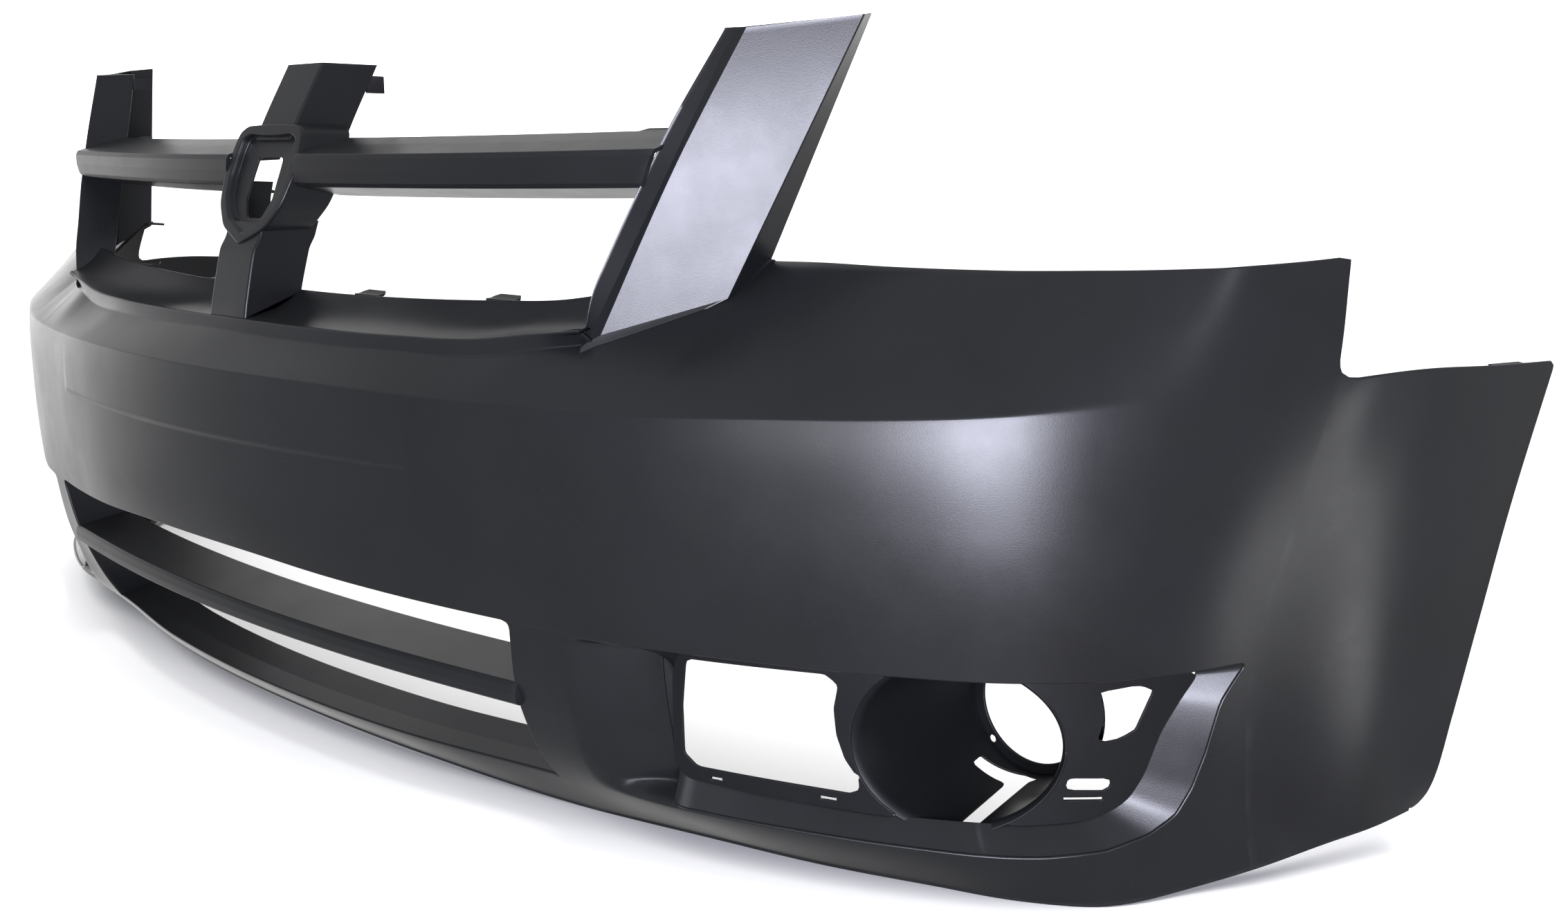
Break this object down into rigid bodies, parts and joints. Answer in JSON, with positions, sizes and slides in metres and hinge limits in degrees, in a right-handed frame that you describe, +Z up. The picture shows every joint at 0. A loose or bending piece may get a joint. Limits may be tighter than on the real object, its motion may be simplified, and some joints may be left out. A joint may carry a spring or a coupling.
{
  "type": "front bumper cover",
  "caption": "Wide wrap-round front bumper cover with a crosshair grille frame, a slatted lower intake, round fog lamp pockets and wheel arch edges.",
  "frame": {"origin": "on the car's centre plane, level with the underside of the bottom flange, midway between the nose and the rear tips of the wings", "axes": "+X to the car's left, -Y to the car's front, +Z up"},
  "size_m": [1.9044, 0.6774, 0.6361],
  "materials": {
    "skin_plastic": "satin grained moulded plastic, unpainted dark charcoal",
    "frame_plastic": "satin grained moulded plastic, unpainted dark charcoal",
    "pocket_plastic": "matte moulded plastic, unpainted near black",
    "tab_plastic": "matte moulded plastic, unpainted near black"
  },
  "bodies": {
    "root": {"fascia_center": "skin_plastic", "fascia_left": "skin_plastic", "fascia_right": "skin_plastic", "intake_pier_left": "skin_plastic", "intake_pier_right": "skin_plastic", "fog_corner_post_left": "skin_plastic", "fog_corner_post_right": "skin_plastic", "side_panel_left": "skin_plastic", "side_panel_right": "skin_plastic", "arch_flange_left": "skin_plastic", "arch_flange_right": "skin_plastic", "lower_lip_center": "skin_plastic", "lower_lip_left": "skin_plastic", "lower_lip_right": "skin_plastic", "bottom_flange_center": "skin_plastic", "bottom_flange_left": "skin_plastic", "bottom_flange_right": "skin_plastic", "nose_band": "frame_plastic", "grille_sill": "frame_plastic", "grille_pillar_left": "frame_plastic", "grille_pillar_right": "frame_plastic", "crossbar_left": "frame_plastic", "crossbar_right": "frame_plastic", "centre_post_lower": "frame_plastic", "centre_post_upper": "frame_plastic", "badge_housing": "frame_plastic", "intake_blade": "pocket_plastic", "intake_sill": "frame_plastic", "intake_cheek_left": "pocket_plastic", "intake_cheek_right": "pocket_plastic", "fog_panel_left": "pocket_plastic", "fog_panel_right": "pocket_plastic", "fog_bezel_left": "frame_plastic", "fog_bezel_right": "frame_plastic", "lamp_tunnel_left": "pocket_plastic", "lamp_tunnel_right": "pocket_plastic", "lamp_ring_left": "pocket_plastic", "lamp_ring_right": "pocket_plastic", "headlamp_flange_left": "skin_plastic", "headlamp_flange_right": "skin_plastic", "sill_tab_inner_left": "tab_plastic", "sill_tab_inner_right": "tab_plastic", "sill_tab_outer_left": "tab_plastic", "sill_tab_outer_right": "tab_plastic", "crossbar_tab_left": "tab_plastic", "crossbar_tab_right": "tab_plastic", "pillar_tab_left": "tab_plastic", "pillar_tab_right": "tab_plastic", "post_tab_left": "tab_plastic", "post_tab_right": "tab_plastic", "fender_tab_left": "tab_plastic", "fender_tab_right": "tab_plastic"}
  },
  "joints": []
}
